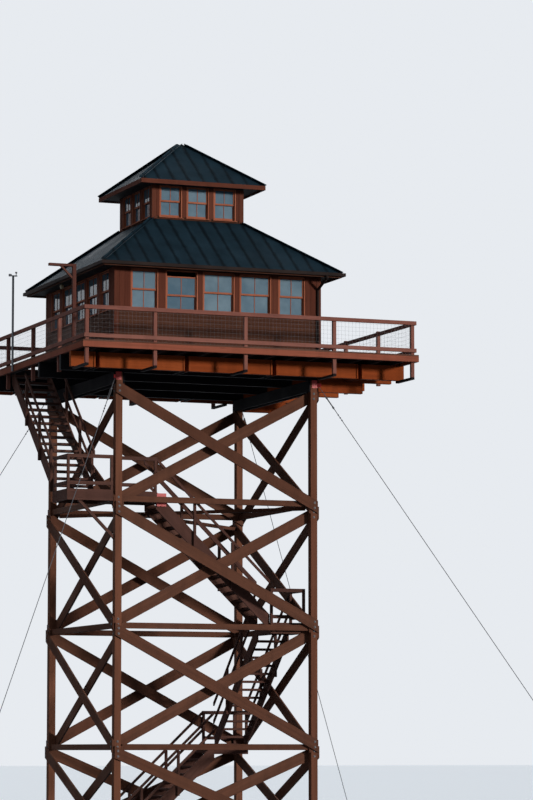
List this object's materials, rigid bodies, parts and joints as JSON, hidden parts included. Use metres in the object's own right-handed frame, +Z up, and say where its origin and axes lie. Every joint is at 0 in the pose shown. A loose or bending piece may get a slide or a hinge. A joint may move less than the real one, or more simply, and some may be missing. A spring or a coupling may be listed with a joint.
{
  "type": "fire lookout tower",
  "caption": "Timber lookout tower: a windowed cab with a small cupola on a railed deck, over a cross-braced leg frame with a winding stair, held by wire guys.",
  "frame": {"origin": "on the ground, under the middle of the four legs", "axes": "+Z up, -Y towards the front face, -X the side with the outside stair"},
  "size_m": [18.6026, 18.602, 19.5747],
  "materials": {
    "leg_timber": "weathered stain",
    "brace_timber": "weathered stain",
    "stair_timber": "weathered stain",
    "deck_timber": "weathered stain",
    "rail_timber": "weathered stain",
    "siding": "weathered stain",
    "window_trim": "weathered stain",
    "concrete": "cast concrete",
    "red_paint": "satin",
    "window_glass": "clear",
    "roof_metal": "satin",
    "gutter_metal": "satin",
    "mast_metal": "matt",
    "lamp_shell": "satin",
    "galvanised_wire": "galvanised"
  },
  "bodies": {
    "root": {"concrete_piers": "concrete", "legs": "leg_timber", "girts": "brace_timber", "plan_braces": "brace_timber", "braces_front": "brace_timber", "braces_right": "brace_timber", "braces_back": "brace_timber", "braces_left": "brace_timber", "stair_treads": "stair_timber", "stair_rails": "stair_timber", "stair_stringers": "stair_timber", "landing_1": "stair_timber", "landing_2": "stair_timber", "landing_3": "stair_timber", "landing_rails": "stair_timber", "landing_knee": "stair_timber", "landing_box": "red_paint", "deck_girders": "deck_timber", "deck_beams": "deck_timber", "deck_outriggers": "deck_timber", "deck_joists": "deck_timber", "stairwell_frame": "deck_timber", "deck_rim": "deck_timber", "deck_floor": "deck_timber", "rail_ties": "deck_timber", "railing_front": "rail_timber", "railing_back": "rail_timber", "railing_left": "rail_timber", "railing_right": "rail_timber", "cab_wall_front": "siding", "cab_wall_back": "siding", "cab_wall_left": "siding", "cab_wall_right": "siding", "cab_windows": "window_trim", "cab_glass": "window_glass", "cab_door": "siding", "cab_floor": "deck_timber", "main_roof": "roof_metal", "eave_fascia": "siding", "eave_soffit": "siding", "cupola_walls": "siding", "cupola_windows": "window_trim", "cupola_glass": "window_glass", "cupola_roof": "roof_metal", "cupola_fascia": "window_trim", "cupola_soffit": "siding", "gutter": "gutter_metal", "downspout": "gutter_metal", "hoist_post": "rail_timber", "weather_mast": "mast_metal", "eave_lamp": "lamp_shell", "guy_cables": "galvanised_wire", "guy_brackets": "red_paint", "guy_anchors": "concrete"}
  },
  "joints": []
}
